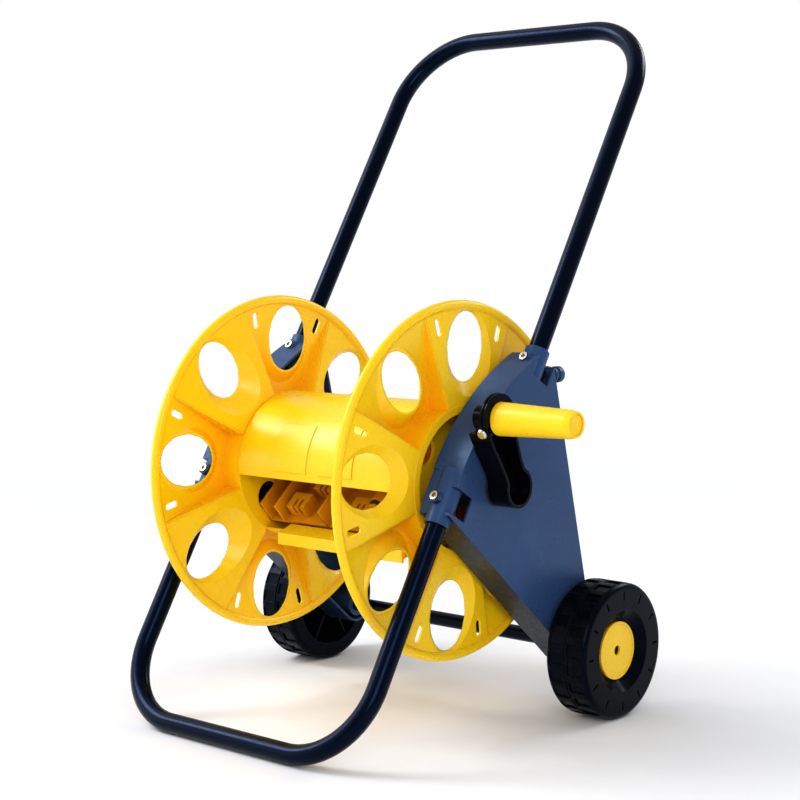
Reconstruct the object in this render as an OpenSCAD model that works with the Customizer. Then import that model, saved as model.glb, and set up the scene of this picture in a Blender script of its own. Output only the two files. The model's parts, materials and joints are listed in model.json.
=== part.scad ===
/* [Tube frame] */
// outside diameter of both bent tubes
tube_d = 19; // [17:0.5:21]
// wall of both bent tubes
tube_wall = 1.4; // [1:0.1:2]
// spacing of the lower stand's legs, centre to centre
stand_w = 306; // [302:1:308]
// spacing of the upper handle's legs, centre to centre
handle_w = 313; // [310:1:315]
// lean of the lower legs from vertical, in degrees
stand_lean = 30.6; // [29:0.1:32]
// lean of the upper legs from vertical, in degrees
handle_lean = 31.2; // [30:0.1:32]
// length of the upper legs' line, from ground level to the top bar
handle_len = 791.6; // [700:1:820]
// bend radius of the handle's top corners, on the centre line
handle_bend = 78; // [60:1:90]
// bend radius of the stand's bottom corners, on the centre line
stand_bend = 75; // [60:1:90]

/* [Side plates] */
// depth of each moulded plate across the cart
plate_depth = 35; // [32:1:36]
// outer face of each plate, from the middle of the cart
plate_out = 169; // [168:0.5:170]
// skin and rim wall of the plates
plate_wall = 2.6; // [2:0.1:3]

/* [Reel] */
// radius of the flanges
flange_r = 171; // [168:1:172]
// rim plane of each flange, from the middle of the cart
flange_x = 119.5; // [118:0.5:120]
// how far the outward sectors rise at the hub
rise_out = 9; // [7:0.5:9.5]
// how far the inward sectors rise at the hub
rise_in = 18; // [14:0.5:20]
// sheet thickness of the flanges
sheet_t = 2.4; // [2:0.1:3]
// outside radius of the drum
drum_r = 74; // [72:0.5:76]
// turn of the sector pattern, in degrees
sector_turn = 5.5; // [0:0.5:10]

/* [Crank] */
// distance from the reel axis to the grip axis
crank_len = 74; // [70:1:78]
// length of the grip
grip_len = 84; // [75:1:100]
// diameter of the grip at the crank head
grip_d = 31; // [29:0.5:31]

/* [Wheels] */
// radius of the wheels
wheel_r = 67; // [66:0.5:68]
// width of the wheels
wheel_w = 46; // [42:1:47]
// diameter of the axle rod
axle_d = 10; // [8:0.5:11]

/* [Hidden] */
$fn = 72;
eps = 0.01;
run_gap = 0.05;
tube_r = tube_d / 2;
// the whole cart is drawn from the middle of the stand's bottom bar, then moved
span_left = plate_out + 3 + wheel_w;
grip_x0 = 197;
span_right = grip_x0 + grip_len;
handle_foot_y = 51.3;
handle_top_y = handle_foot_y + handle_len * sin(handle_lean) + tube_r;
shift_x = -(span_right - span_left) / 2;
shift_y = -(handle_top_y - tube_r) / 2;
plate_in = plate_out - plate_depth;
// reel and axle positions in the side view
reel_y = 188;
reel_z = 239.6;
axle_y = 324.4;
axle_z = wheel_r;
// stations along the legs
stand_socket_s = 231;
stand_end_s = 283;
handle_socket_s = 411;
handle_end_s = 374;
socket_r = tube_r + 2.5;
collar_len = 12;
screw_s_low = 254;
screw_s_up = 396;
screw_d = 5;
// flange
rim_r = 4.5;
web_r = flange_r - 2 * rim_r + 1.5;
hub_r = 72.5;
hub_wall = 2.5;
screw_ring = 66;
hole_c = 127.5;
hole_out_r = 24.7;
hole_in_r = 22.5;
hole_focus = 21.2;
hole_reach = 13.6;
hole_steps = 3;
flare_out = 1.5;
flare_in = 1.05;
slot_r = 149;
slot_turn = 17.3;
// shafts and bearings
shaft_r = 12;
bush_r = 17;
gland_r = 23;
idle_in = flange_x - rise_in - 12.5;
idle_out = plate_out + 4;
// crank
crank_x0 = plate_out + 3;
crank_lean = 26.4;
crank_w = 38;
crank_top = 194.5;
ear_t = 3.2;
hinge_d = 68;
hinge_x = 187;
hinge_r = 3;
guard_r = 23.5;
barrel_r = 12;
collar_r = 15;
knuckle_r = 7;
head_w = crank_w - 2 * ear_t - 0.8;
ear_r = 7.5;
arm_floor = 4;
neck_half = 14.6;
neck_d = 22;
grip_pin_r = 5;
grip_y = reel_y - crank_len * sin(crank_lean);
grip_z = reel_z + crank_len * cos(crank_lean);
// wheels
wheel_x0 = plate_out + 3;
hub_boss_r = 13;
bush_wall = 2.2;
disc_r = 28.5;
bowl_r = 41;
bowl_depth = 9.5;
shoulder_r = 6;
tread_n = 22;
// hose connectors
inlet_x = 152;
inlet_y = 276;
inlet_z = 336;
nipple_r = 8;
outlet_x = 52;
outlet_dir = 36;

// ---- helpers ----
module place() translate([shift_x, shift_y, 0]) children();

module both() {
  children();
  mirror([1, 0, 0]) children();
}

// a side-view shape in (y, z), pushed out along +X from x0
module side(x0, len) translate([x0, 0, 0]) rotate([90, 0, 90]) linear_extrude(len) children();

// local (x, y, z) becomes (Y, Z, X)
module to_x(x, y, z) translate([x, y, z]) rotate([90, 0, 90]) children();

module disc_x(x, y, z, r, len) to_x(x, y, z) cylinder(r = r, h = len);

// puts local +Z along a leg, local +X across the cart, local -Y towards the front
module on_leg(x, foot_y, lean, s) translate([x, foot_y, tube_r]) rotate([-lean, 0, 0]) translate([0, 0, s]) children();

module on_stand(s) on_leg(stand_w / 2, 0, stand_lean, s) children();

module on_handle(s) on_leg(handle_w / 2, handle_foot_y, handle_lean, s) children();

module reel_axis(x) to_x(x, reel_y, reel_z) children();

// ---- bent tubes ----
module u_tube_solid(w, bend, len, r, cut) {
  // bar at z = 0, legs along +Z, solid of radius r; cut lengthens the ends
  translate([-(w / 2 - bend), 0, 0]) rotate([0, 90, 0]) cylinder(r = r, h = w - 2 * bend);
  for (s = [-1, 1]) {
    translate([s * w / 2, 0, bend]) cylinder(r = r, h = len - bend + cut);
    translate([s * (w / 2 - bend), 0, bend]) rotate([90, 0, 0]) rotate([0, 0, s > 0 ? -90 : 180])
      rotate_extrude(angle = 90) translate([bend, 0]) circle(r);
  }
}

module u_tube(w, bend, len) difference() {
  u_tube_solid(w, bend, len, tube_r, 0);
  u_tube_solid(w, bend, len, tube_r - tube_wall, 1);
}

module screw_hole(s, side) translate([side, 0, s]) rotate([90, 0, 0]) cylinder(d = screw_d + 0.4, h = 60, center = true);

module upper_handle() color([0.05, 0.06, 0.1]) place() difference() {
  on_leg(0, handle_foot_y, handle_lean, handle_len) rotate([180, 0, 0])
    u_tube(handle_w, handle_bend, handle_len - handle_end_s);
  both() on_handle(0) screw_hole(screw_s_up, 0);
}

module lower_stand() color([0.05, 0.06, 0.1]) place() difference() {
  on_leg(0, 0, stand_lean, 0) u_tube(stand_w, stand_bend, stand_end_s);
  both() on_stand(0) screw_hole(screw_s_low, 0);
}

// ---- side plates ----
front_arc = [354.15, 124.1, 255.6];
low_a = [115.5, 220.5];
low_b = [309, 54];
rear_a = [338, 92];
rear_b = [273.5, 348];
top_b = [252.5, 360];
cut_a = [311.5, 52];
cut_b = [343.1, 71.7];
corner_r = 19.4;

// the part of the plane left of the line p to q, moved inwards by w
module half(p, q, w) translate(p) rotate(atan2(q[1] - p[1], q[0] - p[0])) translate([-500, w]) square([1000, 500]);

module plate_outline(w) {
  intersection() {
    half(low_a, low_b, w);
    half(rear_a, rear_b, w);
    half(rear_b, top_b, w);
    half(cut_a, cut_b, 0);
    translate([front_arc[0], front_arc[1]]) circle(front_arc[2] - w, $fn = 180);
  }
  translate([axle_y, axle_z]) circle(corner_r - w);
}

module socket_solid() {
  on_stand(stand_socket_s) cylinder(r = socket_r, h = stand_end_s - stand_socket_s + 3);
  on_handle(handle_end_s - 3) cylinder(r = socket_r, h = handle_socket_s - handle_end_s + 3);
}

module socket_bores() {
  on_stand(stand_socket_s - 1) cylinder(r = tube_r + 0.1, h = stand_end_s - stand_socket_s + 1.5);
  on_handle(handle_end_s - 0.5) cylinder(r = tube_r + 0.1, h = handle_socket_s - handle_end_s + 2);
}

// bosses that stand out of the front band, with the screw along local Y
module screw_boss(s) translate([0, -socket_r - 4.5, s]) rotate([-90, 0, 0]) cylinder(r = 6, h = 12);

module screw_bore(s) translate([0, -30, s]) rotate([-90, 0, 0]) {
  cylinder(d = screw_d + 0.4, h = 60);
  cylinder(d = 9.4, h = 30 - socket_r - 1);
  translate([0, 0, 30 + socket_r - 2]) cylinder(r = 4.3, h = 5, $fn = 6);
}

module skin_window(s0, s1) translate([0, -9, s0]) cube([60, 26, s1 - s0]);

// closes a window just inside the plate's inner face; w is the tube's leg spacing
module window_back(w, s0) translate([plate_in + 0.5 - w / 2, -12, s0]) cube([2.4, 36, 30]);

module plate_rib(angle, len, depth) translate([plate_out - depth, reel_y, reel_z]) rotate([angle, 0, 0])
  translate([0, 24, -1.1]) cube([depth - 1, len, 2.2]);

module plate_shell() {
  side(plate_out - plate_wall, plate_wall) plate_outline(0);
  side(plate_in, plate_depth - plate_wall) difference() {
    plate_outline(0);
    plate_outline(plate_wall);
  }
}

module plate_solid() {
  difference() {
    union() {
      plate_shell();
      intersection() {
        side(plate_in, plate_depth) plate_outline(1);
        union() {
          plate_rib(-48, 120, 24);
          plate_rib(-101, 80, 24);
          plate_rib(157, 62, 24);
          plate_rib(92, 82, 16);
          on_stand(0) window_back(stand_w, screw_s_low - 13);
          on_handle(0) window_back(handle_w, handle_socket_s - 32);
        }
      }
      disc_x(plate_in, reel_y, reel_z, gland_r + 4, plate_depth);
      disc_x(plate_in, axle_y, axle_z, 13, plate_depth);
      on_stand(0) screw_boss(screw_s_low);
      on_handle(0) screw_boss(screw_s_up);
    }
    on_stand(0) skin_window(screw_s_low - 11, screw_s_low + 13);
    on_handle(0) skin_window(handle_socket_s - 30, handle_socket_s - 4);
    on_stand(0) translate([-30, -18, screw_s_low + 9]) cube([19, 10, 20]);
  }
  socket_solid();
}

module plate_cuts() {
  disc_x(plate_in - 1, reel_y, reel_z, bush_r + run_gap, plate_depth + 2);
  disc_x(plate_in - 1, axle_y, axle_z, axle_d / 2 + 0.1, plate_depth + 2);
  socket_bores();
  on_stand(0) screw_bore(screw_s_low);
  on_handle(0) screw_bore(screw_s_up);
}

module right_side_plate() color([0.2, 0.27, 0.4]) place() difference() {
  plate_solid();
  plate_cuts();
  disc_x(plate_in - 1, reel_y, reel_z, gland_r + run_gap, 27.2);
  pipe_run(pipe_r + 0.4, 20);
  translate([inlet_x, inlet_y - 14, inlet_z]) rotate([-90, 0, 0]) cylinder(r = nipple_r + 1.1, h = 20);
}

module left_side_plate() color([0.2, 0.27, 0.4]) place() mirror([1, 0, 0]) difference() {
  plate_solid();
  plate_cuts();
}

module tube_screw() {
  // head at the front, shank along local +Y
  rotate([-90, 0, 0]) difference() {
    union() {
      cylinder(d = 8.6, h = 5);
      translate([0, 0, 4]) cylinder(d = screw_d, h = 2 * socket_r + 3);
    }
    translate([0, 0, -1]) cylinder(d = 4.6, h = 3.6, $fn = 6);
  }
}

module tube_screws() color([0.75, 0.75, 0.74]) place() both() {
  on_stand(screw_s_low) translate([0, -socket_r - 6, 0]) tube_screw();
  on_handle(screw_s_up) translate([0, -socket_r - 6, 0]) tube_screw();
}

module screw_nut() rotate([-90, 0, 0]) difference() {
  cylinder(r = 4.2, h = 3.4, $fn = 6);
  translate([0, 0, -1]) cylinder(d = screw_d + 0.1, h = 6);
}

module screw_nuts() color([0.7, 0.7, 0.68]) place() both() {
  on_stand(screw_s_low) translate([0, socket_r - 1.9, 0]) screw_nut();
  on_handle(screw_s_up) translate([0, socket_r - 1.9, 0]) screw_nut();
}

// ---- axle ----
axle_end = wheel_x0 + wheel_w - 10;
module axle_rod() color([0.6, 0.6, 0.6]) place()
  disc_x(-axle_end, axle_y, axle_z, axle_d / 2, 2 * axle_end);

module tube_x(x, r_out, r_in, len) to_x(x, axle_y, axle_z) difference() {
  cylinder(r = r_out, h = len);
  translate([0, 0, -1]) cylinder(r = r_in, h = len + 2);
}

module axle_sleeve() color([0.06, 0.06, 0.07]) place()
  tube_x(-plate_in + 0.3, 7.5, axle_d / 2 + 0.2, 2 * plate_in - 0.6);

module axle_washers() color([0.7, 0.7, 0.7]) place() both() {
  tube_x(plate_out + 0.3, 10, axle_d / 2 + 0.1, 2);
  tube_x(axle_end - 6.2, 9, axle_d / 2 + 0.1, 1.4);
}

module axle_push_caps() color([0.75, 0.75, 0.74]) place() both() to_x(axle_end - 4.5, axle_y, axle_z) difference() {
  cylinder(r = 8, h = 4);
  translate([0, 0, -1]) cylinder(r = axle_d / 2 + 0.02, h = 6);
}

// ---- reel bearings ----
module bush(x0, len) difference() {
  union() {
    reel_axis(x0) cylinder(r = bush_r, h = len);
    reel_axis(x0 + len - 1.4) cylinder(r = bush_r + 3, h = 1.4);
  }
  reel_axis(x0 - 1) cylinder(r = shaft_r + run_gap, h = len + 2);
}

module right_bearing_bush() color([0.12, 0.12, 0.13]) place() bush(160.4, plate_out + 1.5 - 160.4);

module left_bearing_bush() color([0.12, 0.12, 0.13]) place() mirror([1, 0, 0])
  bush(plate_in + 1, plate_depth + 0.5);

// ---- water side ----
pipe_r = 4.5;
pipe_bore = 3;
elbow_y = inlet_y - 4;
inlet_step = 5;
pipe_turn = atan2(inlet_z - reel_z, elbow_y - reel_y);
pipe_len = norm([elbow_y - reel_y, inlet_z - reel_z]);
gland_x0 = 136;
gland_len = 24;
seal_in = 139.5;
seal_out = 158;

// straight pipe from the gland to the elbow; near is where it starts from the reel axis
module pipe_run(r, near) translate([inlet_x, reel_y, reel_z]) rotate([pipe_turn, 0, 0]) rotate([-90, 0, 0])
  translate([0, 0, near]) cylinder(r = r, h = pipe_len - near);

module elbow_ball(r) translate([inlet_x, elbow_y, inlet_z]) sphere(r);

module water_pipe() color([0.1, 0.1, 0.11]) place() difference() {
  union() {
    pipe_run(pipe_r, gland_r + 0.2);
    elbow_ball(pipe_r + 0.3);
    translate([inlet_x, elbow_y, inlet_z]) rotate([-90, 0, 0]) cylinder(r = pipe_r, h = inlet_step);
  }
  pipe_run(pipe_bore, 15);
  elbow_ball(pipe_bore + 0.4);
  translate([inlet_x, elbow_y, inlet_z]) rotate([-90, 0, 0]) cylinder(r = pipe_bore, h = 7);
}

module water_gland() color([0.12, 0.12, 0.14]) place() difference() {
  reel_axis(gland_x0) cylinder(r = gland_r, h = gland_len);
  reel_axis(gland_x0 - 1) cylinder(r = shaft_r + run_gap, h = gland_len + 2);
  reel_axis(inlet_x - 3.6) cylinder(r = shaft_r + 4, h = 7.2);
  pipe_run(pipe_bore, shaft_r + 2);
}

// quick-connector nipple along local +Z, free end at len
module nipple(len, bore) difference() {
  union() {
    cylinder(r = nipple_r + 1, h = len - 18);
    translate([0, 0, len - 18.01]) cylinder(r = 6.4, h = 18);
    translate([0, 0, len - 12]) cylinder(r = nipple_r - 0.6, h = 3);
    translate([0, 0, len - 6]) cylinder(r = nipple_r, h = 6);
  }
  translate([0, 0, len - 15.5]) rotate_extrude() translate([6.9, 0]) circle(1.6);
  translate([0, 0, -1]) cylinder(r = bore, h = len + 2);
}

module nipple_ring(len) translate([0, 0, len - 15.5]) rotate_extrude() translate([6.9, 0]) circle(1.5);

module on_inlet() translate([inlet_x, elbow_y + inlet_step + 0.05, inlet_z]) rotate([-90, 0, 0]) children();

inlet_len = 27.2;
module hose_inlet() color([0.2, 0.27, 0.4]) place() on_inlet() nipple(inlet_len, 4);

module inlet_o_ring() color([0.04, 0.04, 0.04]) place() on_inlet() nipple_ring(inlet_len);

// ---- reel flanges ----
// each sector ends a little inside the walls, the rim ring and the hub ring, so that they grow together
sector_half = 22.3;
sheet_in = hub_r - 1;
sheet_out = web_r + 1;
sheet_end = sheet_t / 2 - 0.1;

module sector_turned(inner_low, rise) rotate([0, 0, -sector_half]) rotate_extrude(angle = 2 * sector_half)
  polygon([[sheet_in, rise], [sheet_out, sheet_end], [sheet_out, -sheet_end], [sheet_in, inner_low]]);

module sector_sheet(rise) sector_turned(rise - sheet_t, rise);

module sector_wedge(rise) sector_turned(-sheet_t / 2, rise);

// oval hole that opens wider upwards: cones whose circles all touch one ellipse, b is its short half-axis
module flared_hole(b, grow, flare, h) translate([hole_c, 0, -sheet_t / 2 - 0.5])
  for (k = [-hole_steps:hole_steps]) translate([hole_reach * sin(k * 90 / hole_steps), 0, 0])
    flare_cone(b * sqrt(1 - pow(hole_reach * sin(k * 90 / hole_steps) / hole_focus, 2)) + grow, flare, h);

module flare_cone(r, flare, h) cylinder(r1 = r, r2 = r + flare * h, h = h);

module slot_hole(turn) rotate([0, 0, turn]) translate([slot_r, 0, -5]) {
  for (s = [-1, 1]) translate([s * 5, 0, 0]) cylinder(r = 3.4, h = 14);
  translate([-5, -3.4, 0]) cube([10, 6.8, 14]);
}

module sector(rise, flare, r, slots) difference() {
  union() {
    sector_sheet(rise);
    intersection() {
      sector_wedge(rise);
      flared_hole(r, sheet_t, flare, rise + 4);
    }
  }
  flared_hole(r, 0, flare, rise + 4);
  if (slots) for (s = [-1, 1]) slot_hole(s * slot_turn);
}

module sector_wall() translate([0, sheet_t / 2, 0]) rotate([90, 0, 0]) linear_extrude(sheet_t)
  polygon([[hub_r - 1.5, rise_out - 0.3], [web_r + 1.5, 0.4], [web_r + 1.5, -0.4], [hub_r - 1.5, 0.6 - rise_in]]);

module hub_plate() difference() {
  union() {
    translate([0, 0, -rise_in]) cylinder(r = hub_r - 1, h = 3);
    translate([0, 0, -rise_in - 12]) cylinder(r = shaft_r + 5, h = 30);
  }
  for (k = [0:3]) rotate([0, 0, k * 90]) translate([screw_ring, 0, -rise_in - 1]) cylinder(r = 2, h = 5);
  for (k = [0:3]) rotate([0, 0, k * 90 + 45]) translate([44, 0, -rise_in - 1]) cylinder(r = 15, h = 5);
}

// local +Z points outwards, the rim plane is z = 0
module flange() difference() {
  union() {
    rotate_extrude() translate([flange_r - rim_r, 0]) circle(rim_r, $fn = 32);
    rotate_extrude() translate([web_r - 1, -sheet_t / 2]) square([flange_r - rim_r - web_r, sheet_t]);
    rotate([0, 0, -sector_turn]) for (k = [0:3]) {
      rotate([0, 0, k * 90]) sector(rise_out, flare_out, hole_out_r, true);
      rotate([0, 0, k * 90 + 45]) mirror([0, 0, 1]) sector(rise_in - 0.3, flare_in, hole_in_r, false);
    }
    rotate([0, 0, -sector_turn]) for (k = [0:7]) rotate([0, 0, k * 45 + 22.5]) sector_wall();
    difference() {
      translate([0, 0, -rise_in]) cylinder(r = hub_r, h = rise_in + rise_out + 0.3);
      translate([0, 0, -rise_in - 1]) cylinder(r = hub_r - hub_wall, h = rise_in + rise_out - 1.5);
      translate([0, 0, 0]) cylinder(r = 65, h = rise_out + 2);
    }
    hub_plate();
  }
  translate([0, 0, -rise_in - 20]) cylinder(r = shaft_r + 0.03, h = 60);
}

module right_flange() color([1, 0.8, 0]) place() reel_axis(flange_x) flange();

module left_flange() color([1, 0.8, 0]) place() mirror([1, 0, 0]) reel_axis(flange_x) flange();

// ---- drum ----
drum_x = flange_x - rise_in - 0.1;
shell_t = 2.5;
window_top = 184;
window_low = 241;

module drum_arc(a0, a1, r_out, r_in, x0, x1) reel_axis(x0) rotate([0, 0, a0]) rotate_extrude(angle = a1 - a0, $fn = 120)
  translate([r_in, 0]) square([r_out - r_in, x1 - x0]);

// boss that takes a flange screw at each end of a shell
module shell_boss(a) both() reel_axis(drum_x - 12) rotate([0, 0, a]) difference() {
  union() {
    translate([screw_ring, 0, 0]) cylinder(r = 3.8, h = 12);
    translate([screw_ring, -1.2, 0]) cube([drum_r - shell_t - screw_ring + 0.5, 2.4, 12]);
  }
  translate([screw_ring, 0, -1]) cylinder(r = 1.9, h = 14);
}

module drum_top_shell() color([1, 0.82, 0.05]) place() {
  for (a = [0, 90, 180]) shell_boss(a);
  drum_arc(-4, window_top, drum_r, drum_r - shell_t, -drum_x, drum_x);
  drum_arc(window_top - 2.5, window_top, drum_r - shell_t + eps, drum_r - 8, -drum_x + 13, drum_x - 13);
  for (x = [-52, 8]) drum_arc(140, 178, drum_r + 0.8, drum_r - 1, x, x + 44);
}

module drum_rear_shell() color([1, 0.8, 0]) place() {
  drum_arc(window_low, 355.8, drum_r, drum_r - shell_t, -drum_x, drum_x);
  shell_boss(270);
}

// inclined web with cross ribs and two slotted blocks, seen through the drum's window
core_lean = 42;
core_off = -22;
core_low = -60;
module core_frame() translate([0, reel_y, reel_z]) rotate([core_lean, 0, 0]) translate([0, 0, core_off]) children();

module slot_block(x, y) translate([x, y, 2]) difference() {
  cube([24, 19, 15]);
  for (k = [0:1]) translate([8 + k * 7, -1, 5]) cube([3, 12, 12]);
}

module drum_core() color([0.85, 0.5, 0.03]) place() intersection() {
  core_frame() {
    translate([-drum_x + 0.3, core_low, 0]) cube([2 * drum_x - 0.6, 130, 2.5]);
    translate([-drum_x + 3, core_low, 0]) cube([2.5, -core_low - 20, 26]);
    for (x = [-80, -20]) translate([x, core_low, 0]) cube([2.5, 118, 24]);
    for (x = [20, 66]) translate([x, core_low, -18]) cube([2.5, 118, 20]);
    slot_block(-73, -52);
    slot_block(-54, -26);
    slot_block(8, -48);
  }
  reel_axis(-drum_x) cylinder(r = drum_r - shell_t - 0.1, h = 2 * drum_x);
}

strip_x0 = -62;

// point beside the rear shell's front edge, r from the reel axis
function drum_point(r) = [reel_y + r * cos(window_low - 0.1), reel_z + r * sin(window_low - 0.1)];

module drum_guide_strip() color([1, 0.8, 0]) place() difference() {
  side(strip_x0, drum_x - strip_x0 - 0.5) polygon([drum_point(69.5), drum_point(73.5), [133, 170], [133, 166.5],
    [130, 166.5], [130, 178], [149, 184.5]]);
  translate([strip_x0, 120, 178]) rotate([0, 35, 0]) translate([-40, 0, -60]) cube([40, 60, 60]);
}

// ---- shafts ----
drive_in = 36;
drive_out = crank_x0 + 2;
module drive_shaft() color([0.85, 0.5, 0.03]) place() difference() {
  reel_axis(drive_in) cylinder(r = shaft_r, h = drive_out - drive_in);
  reel_axis(drive_in + 6) cylinder(r = 4, h = inlet_x + 3 - drive_in - 6);
  for (k = [0:3]) reel_axis(inlet_x) rotate([0, 0, k * 90]) rotate([90, 0, 0]) cylinder(r = 1.8, h = shaft_r + 1);
  for (x = [seal_in, seal_out]) reel_axis(x) ring_cut();
  outlet_line() cylinder(r = 3, h = 30);
  reel_axis(drive_out - 14) cylinder(r = 2.2, h = 15);
}

module ring_cut() rotate_extrude() translate([shaft_r, 0]) circle(1.6);

module shaft_seals() color([0.04, 0.04, 0.04]) place() intersection() {
  for (x = [seal_in, seal_out]) reel_axis(x) rotate_extrude() translate([shaft_r, 0]) circle(1.5);
  reel_axis(gland_x0) cylinder(r = shaft_r, h = gland_len);
}

module idle_shaft() color([0.85, 0.5, 0.03]) place() mirror([1, 0, 0]) difference() {
  reel_axis(idle_in) cylinder(r = shaft_r, h = idle_out - idle_in);
  reel_axis(idle_out - 2.3) difference() {
    cylinder(r = shaft_r + 1, h = 1.3);
    translate([0, 0, -1]) cylinder(r = shaft_r - 1.5, h = 4);
  }
}

module idle_clip() color([0.7, 0.7, 0.7]) place() mirror([1, 0, 0]) reel_axis(idle_out - 2.2) difference() {
  cylinder(r = shaft_r + 4, h = 1.1);
  translate([0, 0, -1]) cylinder(r = shaft_r - 1.45, h = 4);
  translate([-4, 5, -1]) cube([8, 20, 4]);
}

// ---- hose outlet in the drum ----
module outlet_line() translate([outlet_x, reel_y, reel_z]) rotate([outlet_dir, 0, 0]) rotate([90, 0, 0]) children();

outlet_len = 50;
module hose_outlet() color([0.85, 0.5, 0.03]) place() difference() {
  union() {
    outlet_line() translate([0, 0, shaft_r + 5]) nipple(outlet_len - 5, 3);
    reel_axis(outlet_x - 11) cylinder(r = shaft_r + 5.5, h = 22);
  }
  reel_axis(outlet_x - 12) cylinder(r = shaft_r + 0.03, h = 24);
  outlet_line() cylinder(r = 3, h = outlet_len);
}

module outlet_o_ring() color([0.04, 0.04, 0.04]) place() outlet_line() translate([0, 0, shaft_r + 5])
  nipple_ring(outlet_len - 5);

module drum_screw() difference() {
  union() {
    cylinder(r = 3.6, h = 2.4);
    translate([0, 0, -9]) cylinder(r = 1.8, h = 9.5);
  }
  for (k = [0:1]) rotate([0, 0, k * 90]) translate([-2.4, -0.5, 1.3]) cube([4.8, 1, 2]);
}

module drum_screws() color([0.7, 0.7, 0.7]) place() both() for (k = [0:3]) reel_axis(flange_x - rise_in + 3.05)
  rotate([0, 0, k * 90]) translate([screw_ring, 0, 0]) drum_screw();

// ---- crank ----
// local Z runs from the reel axis to the grip, local X outwards, local Y to the rear
module on_crank() translate([0, reel_y, reel_z]) rotate([crank_lean, 0, 0]) children();

module arm_block(x0, x1) on_crank() translate([x0, 0, 0]) rotate([90, 0, 90]) linear_extrude(x1 - x0) children();

module arm_outline(w) {
  circle(crank_w / 2 - w);
  polygon([[-neck_half + w, 0], [neck_half - w, 0], [neck_half - w, neck_d], [crank_w / 2 - w, hinge_d - 8],
    [crank_w / 2 - w, hinge_d + w], [-crank_w / 2 + w, hinge_d + w], [-crank_w / 2 + w, hinge_d - 8],
    [-neck_half + w, neck_d]]);
}

module crank_arm() color([0.05, 0.05, 0.06]) place() difference() {
  union() {
    difference() {
      arm_block(crank_x0, crank_top) arm_outline(0);
      arm_block(crank_x0 + arm_floor, crank_top + 1) arm_outline(ear_t);
    }
    on_crank() for (s = [-1, 1]) translate([hinge_x, s * (crank_w / 2 - ear_t / 2), hinge_d]) rotate([90, 0, 0])
      cylinder(r = ear_r, h = ear_t, center = true);
    on_crank() for (k = [-1:1]) translate([crank_x0 + 1, -1 + k * 5, -14]) cube([arm_floor + 0.2, 1.6, 7]);
    reel_axis(crank_x0 - 1.2) cylinder(r = 15.5, h = 2);
  }
  arm_block(crank_x0 - 3, crank_top + 1) translate([-crank_w / 2 + ear_t, 48]) square([crank_w - 2 * ear_t, 60]);
  reel_axis(crank_x0 - 2) cylinder(r = shaft_r + 0.03, h = drive_out - crank_x0 + 2.1);
  reel_axis(crank_x0) cylinder(r = 2.4, h = 12);
  on_hinge() cylinder(r = hinge_r + 0.02, h = 60, center = true);
}

module crank_screw() color([0.75, 0.75, 0.74]) place() difference() {
  union() {
    reel_axis(crank_x0 + arm_floor + 0.05) cylinder(r1 = 4.6, r2 = 3.8, h = 1.2);
    reel_axis(crank_x0 - 8) cylinder(r = 2, h = 8 + arm_floor + 0.5);
  }
  for (k = [0:1]) reel_axis(crank_x0 + arm_floor + 0.5) rotate([0, 0, k * 90]) translate([-2.6, -0.5, 0])
    cube([5.2, 1, 3]);
}

module on_hinge() on_crank() translate([hinge_x, 0, hinge_d]) rotate([90, 0, 0]) children();

module hinge_pin() color([0.82, 0.82, 0.8]) place() on_hinge() {
  translate([0, 0, -crank_w / 2 - 0.5]) cylinder(r = hinge_r, h = crank_w + 1);
  translate([0, 0, crank_w / 2]) cylinder(r1 = 5.2, r2 = 3.6, h = 1.8);
  translate([0, 0, -crank_w / 2 - 1.8]) cylinder(r1 = 3.6, r2 = 5.2, h = 1.8);
}

head_x0 = crank_x0 + 2;
head_x1 = grip_x0 - 0.5;
grip_pin_x0 = hinge_x + hinge_r + 0.6;

module head_axis(x) on_crank() translate([x, 0, crank_len]) rotate([90, 0, 90]) children();

// grooved hand guard beside the grip, left away where it would meet the arm's ears
module guard() intersection() {
  union() {
    head_axis(head_x1 - 5.2) cylinder(r = guard_r, h = 2.1);
    head_axis(head_x1 - 3.2) cylinder(r = guard_r - 1.8, h = 1.3);
    head_axis(head_x1 - 2) cylinder(r = guard_r - 0.4, h = 2);
  }
  on_crank() translate([head_x0, -40, hinge_d + ear_r + 0.7]) cube([60, 80, 60]);
}

module crank_head() color([0.05, 0.05, 0.06]) place() difference() {
  union() {
    head_axis(head_x0) cylinder(r = barrel_r, h = head_x1 - head_x0 - 5);
    guard();
    head_axis(head_x1 - 5.5) cylinder(r = collar_r, h = 5.5);
    on_hinge() translate([0, 0, -head_w / 2]) cylinder(r = knuckle_r, h = head_w);
    on_crank() translate([hinge_x - knuckle_r, -head_w / 2, hinge_d]) cube([2 * knuckle_r - 2, head_w, 8]);
  }
  for (s = [-1, 1]) on_hinge() translate([0, 0, s * (head_w / 2 + 5)]) cylinder(r = ear_r + 0.4, h = 10, center = true);
  on_hinge() translate([0, 0, -30]) cylinder(r = hinge_r + run_gap, h = 60);
  head_axis(grip_pin_x0) cylinder(r = grip_pin_r + 0.02, h = 60);
}

module grip_axis(x) to_x(x, grip_y, grip_z) children();

module grip_pin() color([0.65, 0.65, 0.66]) place() {
  grip_axis(grip_pin_x0) cylinder(r = grip_pin_r, h = grip_x0 + grip_len - 13 - grip_pin_x0);
  grip_axis(grip_x0 + grip_len - 14) cylinder(r = grip_pin_r + 2.5, h = 2);
}

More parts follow.
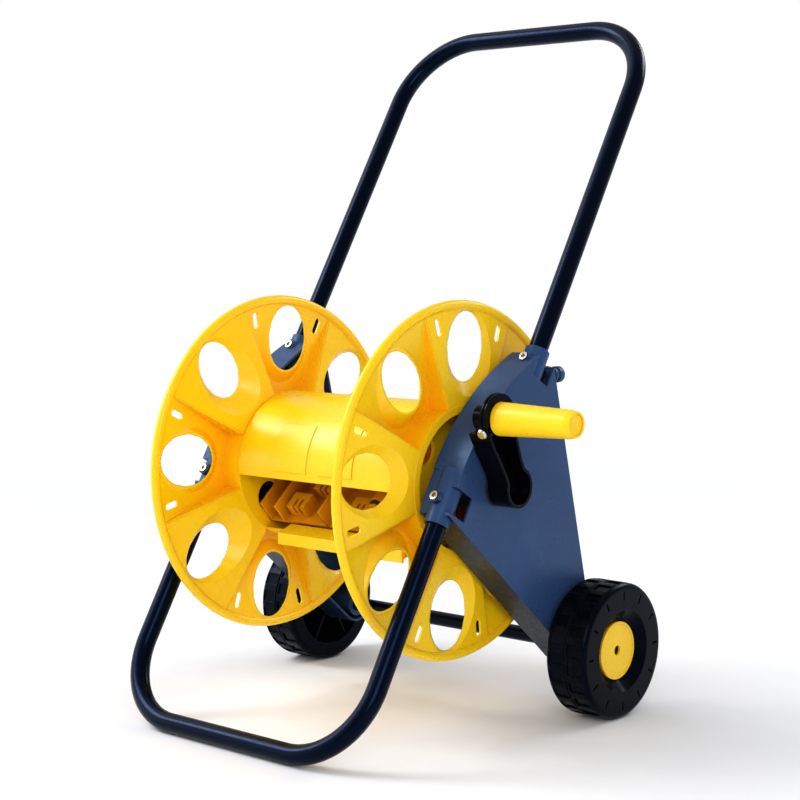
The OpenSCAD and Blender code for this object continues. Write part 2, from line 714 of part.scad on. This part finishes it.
grip_end_d = 25;
module crank_grip() color([1, 0.82, 0]) place() difference() {
  union() {
    grip_axis(grip_x0) cylinder(r1 = grip_d / 2, r2 = grip_end_d / 2 + 0.4, h = grip_len - 6);
    grip_axis(grip_x0 + grip_len - 6) cylinder(r1 = grip_end_d / 2 + 0.4, r2 = grip_end_d / 2 - 1, h = 6);
  }
  grip_axis(grip_x0 - 1) cylinder(r = grip_pin_r + run_gap, h = grip_len - 12);
  grip_axis(grip_x0 + grip_len - 14.5) cylinder(r = grip_pin_r + 4.5, h = 20);
}

module grip_cap() color([1, 0.82, 0]) place() {
  grip_axis(grip_x0 + grip_len - 3.5) cylinder(r = grip_pin_r + 4.4, h = 2.5);
  grip_axis(grip_x0 + grip_len - 9) difference() {
    cylinder(r = grip_pin_r + 4.4, h = 6);
    translate([0, 0, -1]) cylinder(r = grip_pin_r + 3, h = 6.5);
  }
}

// ---- wheels ----
module wheel_axis(x) to_x(x, axle_y, axle_z) children();

module tread_cuts() for (row = [0:1]) for (k = [0:tread_n - 1]) rotate([0, 0, (k + row / 2) * 360 / tread_n])
  translate([wheel_r - 1.8, -6, 4 + row * 21]) cube([6, 12, 17]);

module wheel_profile() {
  square([wheel_r - shoulder_r, wheel_w]);
  translate([0, shoulder_r]) square([wheel_r, wheel_w - 2 * shoulder_r]);
  for (z = [shoulder_r, wheel_w - shoulder_r]) translate([wheel_r - shoulder_r, z]) circle(shoulder_r);
}

module wheel() difference() {
  wheel_axis(wheel_x0) union() {
    difference() {
      rotate_extrude() wheel_profile();
      tread_cuts();
      rotate_extrude() translate([wheel_r - 1, wheel_w / 2 - 1]) square([4, 2]);
      translate([0, 0, wheel_w - bowl_depth]) cylinder(r1 = disc_r + 0.5, r2 = bowl_r, h = bowl_depth + 0.1);
      translate([0, 0, wheel_w - 16]) cylinder(r = disc_r + 0.5, h = 8);
      translate([0, 0, -1]) cylinder(r = bowl_r + 8, h = 23);
      for (k = [0:11]) rotate([0, 0, k * 30]) translate([50, -1.1, wheel_w - 2]) cube([9, 2.2, 5]);
    }
    cylinder(r = hub_boss_r, h = wheel_w - 16);
    for (k = [0:5]) rotate([0, 0, k * 60]) translate([hub_boss_r - 1, -1.3, 3]) cube([bowl_r + 8 - hub_boss_r + 2, 2.6, 20]);
  }
  wheel_axis(wheel_x0 - 1) cylinder(r = axle_d / 2 + bush_wall + 0.03, h = wheel_w - 15);
  wheel_axis(axle_end - 7) cylinder(r = hub_boss_r - 2.5, h = 20);
}

module right_wheel() color([0.04, 0.04, 0.05]) place() wheel();

module left_wheel() color([0.04, 0.04, 0.05]) place() mirror([1, 0, 0]) wheel();

module wheel_bush() wheel_axis(wheel_x0 + 0.5) difference() {
  cylinder(r = axle_d / 2 + bush_wall, h = wheel_w - 18);
  translate([0, 0, -1]) cylinder(r = axle_d / 2 + run_gap, h = wheel_w);
}

module right_wheel_bush() color([0.8, 0.8, 0.78]) place() wheel_bush();

module left_wheel_bush() color([0.8, 0.8, 0.78]) place() mirror([1, 0, 0]) wheel_bush();

module hub_disc() wheel_axis(wheel_x0 + wheel_w - 15.9) difference() {
  union() {
    translate([0, 0, 6.4]) cylinder(r = disc_r, h = 3);
    difference() {
      cylinder(r = disc_r - 4, h = 6.5);
      translate([0, 0, -1]) cylinder(r = disc_r - 6, h = 7.5);
    }
  }
  translate([0, 0, 8.8]) cylinder(r = disc_r - 2.4, h = 2);
  translate([0, 0, -1]) cylinder(r = 4.8, h = 20);
}

module right_hub_disc() color([1, 0.8, 0]) place() hub_disc();

module left_hub_disc() color([1, 0.8, 0]) place() mirror([1, 0, 0]) hub_disc();

upper_handle();
lower_stand();
right_side_plate();
left_side_plate();
tube_screws();
screw_nuts();
axle_rod();
axle_sleeve();
axle_washers();
axle_push_caps();
right_bearing_bush();
left_bearing_bush();
hose_inlet();
inlet_o_ring();
water_pipe();
water_gland();
right_flange();
left_flange();
drum_top_shell();
drum_rear_shell();
drum_core();
drum_guide_strip();
drive_shaft();
idle_shaft();
shaft_seals();
idle_clip();
hose_outlet();
outlet_o_ring();
drum_screws();
crank_arm();
crank_screw();
hinge_pin();
crank_head();
grip_pin();
crank_grip();
grip_cap();
right_wheel();
left_wheel();
right_wheel_bush();
left_wheel_bush();
right_hub_disc();
left_hub_disc();
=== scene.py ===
import json
import math

import bpy
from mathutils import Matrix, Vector

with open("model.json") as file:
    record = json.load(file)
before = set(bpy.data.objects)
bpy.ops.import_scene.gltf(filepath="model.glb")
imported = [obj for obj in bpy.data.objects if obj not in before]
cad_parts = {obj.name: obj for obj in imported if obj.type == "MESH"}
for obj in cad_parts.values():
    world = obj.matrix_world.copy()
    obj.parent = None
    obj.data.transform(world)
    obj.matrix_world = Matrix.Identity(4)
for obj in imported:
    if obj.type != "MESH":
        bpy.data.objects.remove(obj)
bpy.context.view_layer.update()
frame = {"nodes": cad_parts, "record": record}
nodes = frame["nodes"]
scene = bpy.context.scene

# ---- the wheels in the row frame, metres ----
AXLE_Y, AXLE_Z = 0.093715, 0.067
TREAD_FOOT_R, TREAD_TOP_R = 0.0645, 0.0668

# ---- the tones of the cart and of its painted shade, as linear RGB ----
YELLOW = (0.99, 0.65, 0.0025)
# painted shade: the orange that the yellow moulding turns to in its hollows
YELLOW_PAINTED_SHADE = (0.95, 0.42, 0.001)
AMBER = (0.86, 0.40, 0.002)
# painted shade: the dark amber that the core moulding turns to in its hollows
AMBER_PAINTED_SHADE = (0.5, 0.15, 0.001)
SLATE = (0.031, 0.068, 0.172)
SLATE_STREAK = (0.04, 0.082, 0.19)
# painted shade: the near-black that the side plates' downward faces turn to
SLATE_PAINTED_UNDER_SHADE = (0.002, 0.0025, 0.005)
PAINT = (0.0012, 0.0016, 0.0036)
BLACK = (0.0016, 0.0016, 0.002)
TYRE = (0.0014, 0.0018, 0.0032)
TYRE_SCUFF = (0.016, 0.016, 0.018)
BLACK_WORN = (0.012, 0.018, 0.034)
BLUE_SHEEN = (0.3, 0.5, 1.0)
CHARCOAL = (0.02, 0.02, 0.023)
NYLON = (0.62, 0.60, 0.53)
RUBBER = (0.012, 0.012, 0.012)
ZINC = (0.42, 0.41, 0.39)
STEEL = (0.66, 0.66, 0.65)
DUST = (0.42, 0.38, 0.31)
WHITE = (1.0, 1.0, 1.0)

# ---- what every finish shares ----
# scratches in two directions: scale, turn, and the noise value above which a line shows
SCRATCH_SETS = ((26.0, (0.4, 0.9, 0.5), 0.66), (34.0, (1.3, 0.2, 2.1), 0.67))
SCRATCH_STRETCH = (1.0, 24.0, 24.0)
SCRATCH_FADE = 0.03
SCRATCH_PATCH_SCALE = 9.0
EDGE_PATCH_SCALE = 60.0
DUST_PATCH_SCALE = 30.0
FINE_PER_WIDE = 9
WORN_LIGHTER = 1.5
FLECK_DARKER = 1.6
FINE_ROUGHNESS = 0.07
MARK_ROUGHNESS = 0.22
LOWEST_ROUGHNESS = 0.03
SCATTER_RADIUS = (1.0, 0.5, 0.08)
SCATTER_REACH = 0.004

# ---- sockets of the Mix node's colour form ----
MIX_FACTOR, MIX_A, MIX_B, MIX_RESULT = 0, 6, 7, 2


# ---- node helpers ----
def node(nt, kind, ins=None, **props):
    """A new node with its properties set, and its inputs set or linked."""
    made = nt.nodes.new(kind)
    for key, value in props.items():
        setattr(made, key, value)
    for key, value in (ins or {}).items():
        if isinstance(value, bpy.types.NodeSocket):
            nt.links.new(value, made.inputs[key])
        else:
            made.inputs[key].default_value = value
    return made


def calc(nt, op, a, b=0.0):
    return node(nt, "ShaderNodeMath", {0: a, 1: b}, operation=op).outputs[0]


def dot(nt, a, b):
    return node(nt, "ShaderNodeVectorMath", {0: a, 1: b}, operation="DOT_PRODUCT").outputs["Value"]


def upward(nt, normal):
    """1 where a face looks up, -1 where it looks down."""
    return node(nt, "ShaderNodeSeparateXYZ", {0: normal}).outputs[2]


def camera_ray(nt):
    """1 for what the camera sees directly, 0 for light and reflections."""
    return node(nt, "ShaderNodeLightPath").outputs["Is Camera Ray"]


def span(nt, value, low, high, out_low=0.0, out_high=1.0):
    """A smooth step of the value from low to high, which may also run downwards."""
    ends = {"Value": value, "From Min": low, "From Max": high, "To Min": out_low, "To Max": out_high}
    return node(nt, "ShaderNodeMapRange", ends, interpolation_type="SMOOTHSTEP").outputs["Result"]


def blend(nt, factor, a, b):
    """Colour a turned towards colour b. Each is a socket or an RGB value."""
    first, second = (v if isinstance(v, bpy.types.NodeSocket) else (*v, 1.0) for v in (a, b))
    ends = {MIX_FACTOR: factor, MIX_A: first, MIX_B: second}
    return node(nt, "ShaderNodeMix", ends, data_type="RGBA").outputs[MIX_RESULT]


def noise(nt, place, scale, detail=3.0, rough=0.55, stretch=None, turn=(0, 0, 0)):
    if stretch or any(turn):
        moved = {"Vector": place, "Scale": stretch or (1, 1, 1), "Rotation": turn}
        place = node(nt, "ShaderNodeMapping", moved).outputs[0]
    grain = {"Vector": place, "Scale": scale, "Detail": detail, "Roughness": rough}
    return node(nt, "ShaderNodeTexNoise", grain).outputs[0]


def radial(nt, place, y, z):
    """Distance from an axis along X."""
    parts = node(nt, "ShaderNodeSeparateXYZ", {0: place})
    dy = calc(nt, "SUBTRACT", parts.outputs[1], y)
    dz = calc(nt, "SUBTRACT", parts.outputs[2], z)
    return calc(nt, "SQRT", calc(nt, "ADD", calc(nt, "MULTIPLY", dy, dy), calc(nt, "MULTIPLY", dz, dz)))


def shade(base, k):
    return tuple(min(1.0, c * k) for c in base)


# ---- what time and use leave on a finish, and a plate's painted underside shade ----
def scratches(nt, place, scale, turn, cut):
    """Thin lines in one direction, which show only in patches."""
    lines = noise(nt, place, scale, 2.0, 0.5, stretch=SCRATCH_STRETCH, turn=turn)
    patches = noise(nt, place, SCRATCH_PATCH_SCALE, 2.0)
    return calc(nt, "MULTIPLY", span(nt, lines, cut, cut + SCRATCH_FADE), span(nt, patches, 0.45, 0.6))


def rubbed_edges(nt, place, soft, normal):
    """The edges, where the rounded normal leaves the true one, stronger in patches."""
    patches = span(nt, noise(nt, place, EDGE_PATCH_SCALE), 0.4, 0.62, 0.25, 1.0)
    return calc(nt, "MULTIPLY", span(nt, dot(nt, soft, normal), 0.985, 0.9), patches)


def lying_dust(nt, place, normal):
    """Dust in patches, most of it on what looks up."""
    patches = span(nt, noise(nt, place, DUST_PATCH_SCALE, 5.0, 0.65), 0.45, 0.75)
    return calc(nt, "MULTIPLY", span(nt, upward(nt, normal), 0.2, 1.0, 0.15, 1.0), patches)


def scuffed_tread(nt, place, geometry, colour, dull, height):
    """A tyre's running surface, rubbed grey in patches."""
    patches = span(nt, noise(nt, place, 55.0, 5.0, 0.7), 0.42, 0.68)
    running = span(nt, radial(nt, place, AXLE_Y, AXLE_Z), TREAD_FOOT_R, TREAD_TOP_R)
    rubbed = calc(nt, "MULTIPLY", running, patches)
    colour = blend(nt, calc(nt, "MULTIPLY", rubbed, 0.35), colour, TYRE_SCUFF)
    return colour, calc(nt, "ADD", dull, calc(nt, "MULTIPLY", rubbed, 0.3)), height


def streaked_plate_and_under_shade(nt, place, geometry, colour, dull, height):
    """Paler moulding streaks in a side plate, and painted shade that darkens what faces down."""
    flow = noise(nt, place, 5.0, 4.0, 0.6, stretch=(1, 3.0, 0.5), turn=(0.7, 0, 0))
    colour = blend(nt, span(nt, flow, 0.45, 0.75, 0.0, 0.4), colour, SLATE_STREAK)
    # painted shade: faces that look down turn dark
    under = span(nt, upward(nt, geometry.outputs["Normal"]), -0.2, -0.6, 0.0, 0.85)
    colour = blend(nt, under, colour, SLATE_PAINTED_UNDER_SHADE)
    return colour, calc(nt, "ADD", dull, span(nt, flow, 0.4, 0.7, -0.04, 0.08)), height


# ---- finishes ----
def surface(name, base, rough, metal=0.0, spec=0.5, tint=WHITE, grain=900.0, grain_h=0.00002,
            mottle=0.07, mottle_scale=14.0, wear=0.3, wear_tone=None, scratch=0.35, dust=0.12,
            sss=0.0, bevel=0.0007, hollow_painted_shade=None, brushed=None, extra=None):
    """A worn, finely textured finish, which may be darkened with painted shade in its hollows. Every part of
    it follows the object's own coordinates.

    Painted shade in the hollows is given as its tone, how much of it shows and how far a hollow reaches;
    brushed is the scale and the stretch of fine lines; extra changes the colour, roughness and height.
    """
    m = bpy.data.materials.new(name)
    m.use_nodes = True
    nt = m.node_tree
    nt.nodes.clear()
    place = node(nt, "ShaderNodeTexCoord").outputs["Object"]
    geometry = node(nt, "ShaderNodeNewGeometry")
    normal = geometry.outputs["Normal"]
    soft = node(nt, "ShaderNodeBevel", {"Radius": bevel}, samples=6).outputs[0]
    wide = noise(nt, place, mottle_scale, 4.0)
    fine = noise(nt, place, mottle_scale * FINE_PER_WIDE, 3.0)
    marks = calc(nt, "MAXIMUM", *(scratches(nt, place, *one) for one in SCRATCH_SETS))
    worn = calc(nt, "MULTIPLY", rubbed_edges(nt, place, soft, normal), wear)
    lying = calc(nt, "MULTIPLY", lying_dust(nt, place, normal), dust)
    worn_tone = wear_tone or shade(base, WORN_LIGHTER)

    colour = blend(nt, span(nt, wide, 0.3, 0.7), shade(base, 1 - mottle), shade(base, 1 + mottle))
    flecks = span(nt, fine, 0.35, 0.7, 0.0, 0.35)
    colour = blend(nt, flecks, colour, shade(base, 1 - FLECK_DARKER * mottle))
    colour = blend(nt, worn, colour, worn_tone)
    colour = blend(nt, calc(nt, "MULTIPLY", marks, scratch * 0.5), colour, worn_tone)
    colour = blend(nt, lying, colour, DUST)
    # painted shade: the colour turns towards the given tone where ambient occlusion finds a hollow
    if hollow_painted_shade:
        tone, amount, reach = hollow_painted_shade
        open_air = node(nt, "ShaderNodeAmbientOcclusion", {"Distance": reach}, samples=4).outputs["AO"]
        colour = blend(nt, calc(nt, "MULTIPLY", span(nt, open_air, 0.95, 0.35), amount), colour, tone)

    spread = span(nt, fine, 0.25, 0.75, -FINE_ROUGHNESS, FINE_ROUGHNESS)
    matt_marks = calc(nt, "MULTIPLY", calc(nt, "MAXIMUM", marks, lying), MARK_ROUGHNESS)
    dull = calc(nt, "ADD", calc(nt, "ADD", rough, spread), matt_marks)

    grooves = calc(nt, "MULTIPLY", marks, -0.8 * scratch)
    height = calc(nt, "ADD", noise(nt, place, grain, 2.0, 0.6), grooves)
    height = calc(nt, "ADD", height, calc(nt, "MULTIPLY", wide, 1.5))
    if brushed:
        line_scale, line_stretch = brushed
        height = calc(nt, "ADD", height, noise(nt, place, line_scale, 3.0, 0.6, stretch=line_stretch))
    if extra:
        colour, dull, height = extra(nt, place, geometry, colour, dull, height)

    relief = {"Strength": 1.0, "Distance": grain_h, "Height": height, "Normal": soft}
    shader = node(nt, "ShaderNodeBsdfPrincipled", {
        "Base Color": colour,
        "Metallic": metal,
        "Roughness": calc(nt, "MAXIMUM", dull, LOWEST_ROUGHNESS),
        "Specular IOR Level": spec,
        "Specular Tint": (*tint, 1.0),
        "Subsurface Weight": sss,
        "Subsurface Radius": SCATTER_RADIUS,
        "Subsurface Scale": SCATTER_REACH,
        "Normal": node(nt, "ShaderNodeBump", relief).outputs[0],
    }).outputs[0]
    node(nt, "ShaderNodeOutputMaterial", {"Surface": shader})
    return m


BY_SLOT = {
    "black_tube": surface(
        "black_paint", PAINT, 0.2, spec=0.22, tint=(0.14, 0.36, 1.0), grain=420.0, grain_h=0.000012,
        wear=0.12, wear_tone=(0.006, 0.01, 0.024), scratch=0.2, dust=0.006, bevel=0.0005),
    # the side plates get moulding streaks and a painted shade on what faces down
    "slate_plastic": surface(
        "slate_moulding", SLATE, 0.36, spec=0.32, tint=(0.4, 0.7, 1.0), grain=1500.0, grain_h=0.00004,
        wear=0.45, wear_tone=(0.08, 0.13, 0.25), dust=0.03, extra=streaked_plate_and_under_shade, bevel=0.0009),
    # the yellow moulding gets painted shade in its hollows
    "yellow_plastic": surface(
        "yellow_moulding", YELLOW, 0.3, spec=0.42, grain=700.0, grain_h=0.00003, mottle=0.02, wear=0.3,
        wear_tone=(1.0, 0.80, 0.10), dust=0.03, sss=0.06, hollow_painted_shade=(YELLOW_PAINTED_SHADE, 0.6, 0.035), bevel=0.0009),
    # the amber core moulding gets painted shade in its hollows
    "core_plastic": surface(
        "amber_moulding", AMBER, 0.38, spec=0.35, grain=700.0, grain_h=0.00003, mottle=0.07, wear=0.35,
        wear_tone=(0.98, 0.6, 0.03), dust=0.05, hollow_painted_shade=(AMBER_PAINTED_SHADE, 0.7, 0.03), bevel=0.0009),
    "crank_plastic": surface(
        "black_moulding", BLACK, 0.18, spec=0.12, tint=BLUE_SHEEN, grain=600.0, grain_h=0.000015,
        wear=0.25, wear_tone=BLACK_WORN, scratch=0.2, dust=0.008, bevel=0.0008),
    "wheel_plastic": surface(
        "wheel_moulding", TYRE, 0.22, spec=0.1, tint=BLUE_SHEEN, grain=500.0, grain_h=0.00002,
        wear=0.3, wear_tone=BLACK_WORN, scratch=0.25, dust=0.01, extra=scuffed_tread, bevel=0.001),
    "shaft_plastic": surface("shaft_moulding", CHARCOAL, 0.35, grain=800.0, grain_h=0.00003, dust=0.1),
    "bush_plastic": surface(
        "nylon_bush", NYLON, 0.4, grain=800.0, grain_h=0.00002, dust=0.15, sss=0.1),
    "seal_rubber": surface(
        "seal_rubber", RUBBER, 0.6, spec=0.3, grain=1200.0, grain_h=0.00004, dust=0.15),
    "zinc_steel": surface(
        "zinc_plate", ZINC, 0.3, metal=1.0, grain=260.0, grain_h=0.00003, mottle=0.12,
        mottle_scale=180.0, wear=0.4, wear_tone=(0.8, 0.8, 0.78), dust=0.15, bevel=0.0003),
    "bright_steel": surface(
        "bright_steel", STEEL, 0.2, metal=1.0, grain=300.0, grain_h=0.00001, mottle=0.06,
        mottle_scale=120.0, wear=0.2, dust=0.05, bevel=0.0003, brushed=(60.0, (1.0, 30.0, 30.0))),
}
for part in frame["record"]["subparts"]:
    shown = nodes[part["node"]]
    shown.data.materials.clear()
    shown.data.materials.append(BY_SLOT[part["material_slot"]])

# ---- the studio: sizes in metres, powers in watts ----
FLOOR_HALF = 40
FLOOR_DROP = 0.0004
PAPER_LOW, PAPER_HIGH = (0.86, 0.86, 0.86), (0.9, 0.9, 0.9)
GLOW_START, GLOW_FULL = 0.6, 2.2
ROOM_DIM, ROOM_BRIGHT = (0.48, 0.49, 0.52), (1.55, 1.6, 1.75)
ROOM_BRIGHT_SIDE = (-0.80, -0.42, 0.42)
# name, place, aim, width, height, power, tone
LIGHTS = (
    ("key_light", (-1.75, -1.2, 1.9), (0, 0, 0.3), 0.9, 1.2, 33.0, (1.0, 0.99, 0.97)),
    ("fill_light", (1.9, -1.9, 1.3), (0, 0, 0.3), 1.2, 1.2, 27.0, (1.0, 0.97, 0.92)),
    ("rim_light", (0.6, 2.0, 1.6), (0, 0, 0.35), 1.4, 0.8, 18.0, WHITE),
)
CAMERA_PLACE = (1.144, -1.3311, 0.4606)
CAMERA_DIP, CAMERA_TURN = 4.95, 41.19
CAMERA_LENS, CAMERA_SENSOR = 79.86, 36.0
DISPLAY_GAMMA = 0.9


def lay_floor():
    """Matt paper under the cart, which turns into plain white further out."""
    corners = [(x * FLOOR_HALF, y * FLOOR_HALF, -FLOOR_DROP) for x, y in ((-1, -1), (1, -1), (1, 1), (-1, 1))]
    mesh = bpy.data.meshes.new("studio_floor")
    mesh.from_pydata(corners, [], [(0, 1, 2, 3)])
    floor = bpy.data.objects.new("studio_floor", mesh)
    scene.collection.objects.link(floor)
    sweep = bpy.data.materials.new("studio_floor")
    sweep.use_nodes = True
    nt = sweep.node_tree
    nt.nodes.clear()
    place = node(nt, "ShaderNodeTexCoord").outputs["Object"]
    away = node(nt, "ShaderNodeVectorMath", {0: place}, operation="LENGTH").outputs["Value"]
    paper = blend(nt, noise(nt, place, 30.0, 5.0), PAPER_LOW, PAPER_HIGH)
    matt = node(nt, "ShaderNodeBsdfDiffuse", {"Color": paper}).outputs[0]
    glow = node(nt, "ShaderNodeEmission", {"Color": (*WHITE, 1.0), "Strength": 1.0}).outputs[0]
    shown_glow = calc(nt, "MULTIPLY", span(nt, away, GLOW_START, GLOW_FULL), camera_ray(nt))
    both = node(nt, "ShaderNodeMixShader", {0: shown_glow, 1: matt, 2: glow}).outputs[0]
    node(nt, "ShaderNodeOutputMaterial", {"Surface": both})
    mesh.materials.append(sweep)


def build_room():
    """White to the camera. What lights the cart is dimmer, with one broad bright side."""
    world = bpy.data.worlds.new("studio")
    world.use_nodes = True
    scene.world = world
    nt = world.node_tree
    nt.nodes.clear()
    toward = node(nt, "ShaderNodeTexCoord").outputs["Generated"]
    lobe = dot(nt, toward, tuple(Vector(ROOM_BRIGHT_SIDE).normalized()))
    room = blend(nt, span(nt, lobe, 0.45, 0.97), ROOM_DIM, ROOM_BRIGHT)
    sky = blend(nt, camera_ray(nt), room, WHITE)
    shell = node(nt, "ShaderNodeBackground", {"Color": sky, "Strength": 1.0}).outputs[0]
    node(nt, "ShaderNodeOutputWorld", {"Surface": shell})


def soft_box(name, place, aim, width, height, power, tone):
    data = bpy.data.lights.new(name, "AREA")
    data.shape = "RECTANGLE"
    data.size = width
    data.size_y = height
    data.energy = power
    data.color = tone
    made = bpy.data.objects.new(name, data)
    scene.collection.objects.link(made)
    made.location = place
    made.rotation_euler = (Vector(aim) - Vector(place)).to_track_quat("-Z", "Y").to_euler()


def place_camera():
    camera = bpy.data.objects.new("camera", bpy.data.cameras.new("camera"))
    scene.collection.objects.link(camera)
    camera.location = CAMERA_PLACE
    camera.rotation_euler = (math.radians(90 - CAMERA_DIP), 0.0, math.radians(CAMERA_TURN))
    camera.data.sensor_width = CAMERA_SENSOR
    camera.data.lens = CAMERA_LENS
    camera.data.clip_start = 0.05
    camera.data.clip_end = 200.0
    scene.camera = camera


lay_floor()
build_room()
for light in LIGHTS:
    soft_box(*light)
place_camera()
scene.view_settings.view_transform = "Standard"
scene.view_settings.look = "None"
scene.view_settings.gamma = DISPLAY_GAMMA
